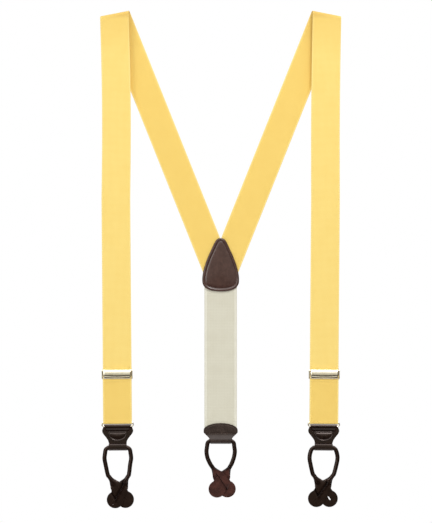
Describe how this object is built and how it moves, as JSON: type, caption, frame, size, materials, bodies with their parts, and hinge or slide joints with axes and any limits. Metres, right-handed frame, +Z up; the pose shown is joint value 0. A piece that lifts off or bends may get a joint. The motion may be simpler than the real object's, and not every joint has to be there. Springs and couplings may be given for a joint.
{
  "type": "dress braces",
  "caption": "Button-on dress braces with a Y back: folded ribbon straps, lever adjusters, wire rings, leather ends, rolled leather button loops and an elastic back.",
  "frame": {"origin": "midway between the two shoulder folds, on the level of the fold axes, where the braces hang from the shoulders", "axes": "+Z up along the hanging braces, X across from the left-hand strap (-X) to the right-hand one (+X), -Y towards the fronts, +Y towards the back strap"},
  "size_m": [0.2938, 0.0167, 0.6062],
  "materials": {
    "ribbon": "woven, fine diamond ground outside and cross ribs inside",
    "elastic": "woven elastic",
    "dark_leather": "smooth, semi-gloss",
    "brown_leather": "smooth, satin, with suede flesh side",
    "nickel": "polished nickel plate"
  },
  "bodies": {
    "root": {"back_strap_left": "ribbon", "back_strap_right": "ribbon", "shoulder_bend_left": "ribbon", "shoulder_bend_right": "ribbon", "patch_inner": "brown_leather", "patch_outer": "brown_leather", "elastic": "elastic"},
    "front_strap_body_left": {"front_strap_left": "ribbon", "lower_run_left": "ribbon"},
    "ribbon_turn_body_left": {"ribbon_turn_left": "ribbon"},
    "adjuster_body_left": {"front_run_left": "ribbon", "adjuster_frame_left": "nickel", "adjuster_bar_left": "nickel", "adjuster_pin_left": "nickel"},
    "lever_body_left": {"adjuster_lever_left": "nickel"},
    "ring_body_left": {"end_ring_left": "nickel"},
    "leather_end_body_left": {"end_leather_left": "dark_leather", "end_facing_left": "dark_leather", "end_flap_left": "dark_leather"},
    "button_loop_body_left": {"left_loop_cord": "dark_leather", "left_tab_slit": "dark_leather", "left_tab_plain": "dark_leather"},
    "front_strap_body_right": {"front_strap_right": "ribbon", "lower_run_right": "ribbon"},
    "ribbon_turn_body_right": {"ribbon_turn_right": "ribbon"},
    "adjuster_body_right": {"front_run_right": "ribbon", "adjuster_frame_right": "nickel", "adjuster_bar_right": "nickel", "adjuster_pin_right": "nickel"},
    "lever_body_right": {"adjuster_lever_right": "nickel"},
    "ring_body_right": {"end_ring_right": "nickel"},
    "leather_end_body_right": {"end_leather_right": "dark_leather", "end_facing_right": "dark_leather", "end_flap_right": "dark_leather"},
    "button_loop_body_right": {"right_loop_cord": "dark_leather", "right_tab_slit": "dark_leather", "right_tab_plain": "dark_leather"},
    "back_end_body": {"back_leather": "brown_leather"},
    "back_loop_body": {"back_loop_cord": "dark_leather", "back_tab_slit": "dark_leather", "back_tab_plain": "dark_leather"}
  },
  "joints": [
    {"name": "shoulder_fold_left", "type": "hinge", "parent": "root", "child": "front_strap_body_left", "pos_m": [-0.12943, 0, -0.0004], "axis": [-0.9812, 0, -0.1927], "range_deg": [0, 175], "deforming": ["shoulder_bend_left"]},
    {"name": "length_left", "type": "slide", "parent": "front_strap_body_left", "child": "ribbon_turn_body_left", "axis": [-0.0079, 0, 1], "range_m": [-0.04, 0.1], "deforming": ["lower_run_left"]},
    {"name": "adjuster_slide_left", "type": "slide", "parent": "ribbon_turn_body_left", "child": "adjuster_body_left", "axis": [-0.0079, 0, 1], "range_m": [-0.04, 0.1], "deforming": ["front_run_left"]},
    {"name": "adjuster_lever_hinge_left", "type": "hinge", "parent": "adjuster_body_left", "child": "lever_body_left", "pos_m": [-0.12604, -0.00615, -0.43179], "axis": [-1, 0, -0.0079], "range_deg": [0, 105]},
    {"name": "ring_hinge_left", "type": "hinge", "parent": "ribbon_turn_body_left", "child": "ring_body_left", "pos_m": [-0.12555, -0.00515, -0.49478], "axis": [1, 0, 0.0079], "range_deg": [-45, 45]},
    {"name": "leather_end_hinge_left", "type": "hinge", "parent": "ring_body_left", "child": "leather_end_body_left", "pos_m": [-0.12551, -0.00515, -0.49948], "axis": [1, 0, 0.0079], "range_deg": [-45, 45]},
    {"name": "button_loop_hinge_left", "type": "hinge", "parent": "leather_end_body_left", "child": "button_loop_body_left", "pos_m": [-0.12531, -0.00515, -0.52528], "axis": [1, 0, 0.0079], "range_deg": [-45, 45]},
    {"name": "shoulder_fold_right", "type": "hinge", "parent": "root", "child": "front_strap_body_right", "pos_m": [0.12943, 0, -0.0004], "axis": [-0.9812, 0, 0.1927], "range_deg": [0, 175], "deforming": ["shoulder_bend_right"]},
    {"name": "length_right", "type": "slide", "parent": "front_strap_body_right", "child": "ribbon_turn_body_right", "axis": [0.0079, 0, 1], "range_m": [-0.04, 0.1], "deforming": ["lower_run_right"]},
    {"name": "adjuster_slide_right", "type": "slide", "parent": "ribbon_turn_body_right", "child": "adjuster_body_right", "axis": [0.0079, 0, 1], "range_m": [-0.04, 0.1], "deforming": ["front_run_right"]},
    {"name": "adjuster_lever_hinge_right", "type": "hinge", "parent": "adjuster_body_right", "child": "lever_body_right", "pos_m": [0.12604, -0.00615, -0.43179], "axis": [-1, 0, 0.0079], "range_deg": [0, 105]},
    {"name": "ring_hinge_right", "type": "hinge", "parent": "ribbon_turn_body_right", "child": "ring_body_right", "pos_m": [0.12555, -0.00515, -0.49478], "axis": [1, 0, -0.0079], "range_deg": [-45, 45]},
    {"name": "leather_end_hinge_right", "type": "hinge", "parent": "ring_body_right", "child": "leather_end_body_right", "pos_m": [0.12551, -0.00515, -0.49948], "axis": [1, 0, -0.0079], "range_deg": [-45, 45]},
    {"name": "button_loop_hinge_right", "type": "hinge", "parent": "leather_end_body_right", "child": "button_loop_body_right", "pos_m": [0.12531, -0.00515, -0.52528], "axis": [1, 0, -0.0079], "range_deg": [-45, 45]},
    {"name": "elastic_stretch", "type": "slide", "parent": "root", "child": "back_end_body", "axis": [0, 0, -1], "range_m": [0, 0.08], "stiffness_N_per_m": 125, "deforming": ["elastic"]},
    {"name": "button_loop_hinge_back", "type": "hinge", "parent": "back_end_body", "child": "back_loop_body", "pos_m": [0, 0.0035, -0.51785], "axis": [1, 0, 0], "range_deg": [-45, 45]}
  ],
  "couplings": [
    {"joint": "adjuster_slide_left", "follows": "length_left", "ratio": 1},
    {"joint": "adjuster_slide_right", "follows": "length_right", "ratio": 1}
  ]
}
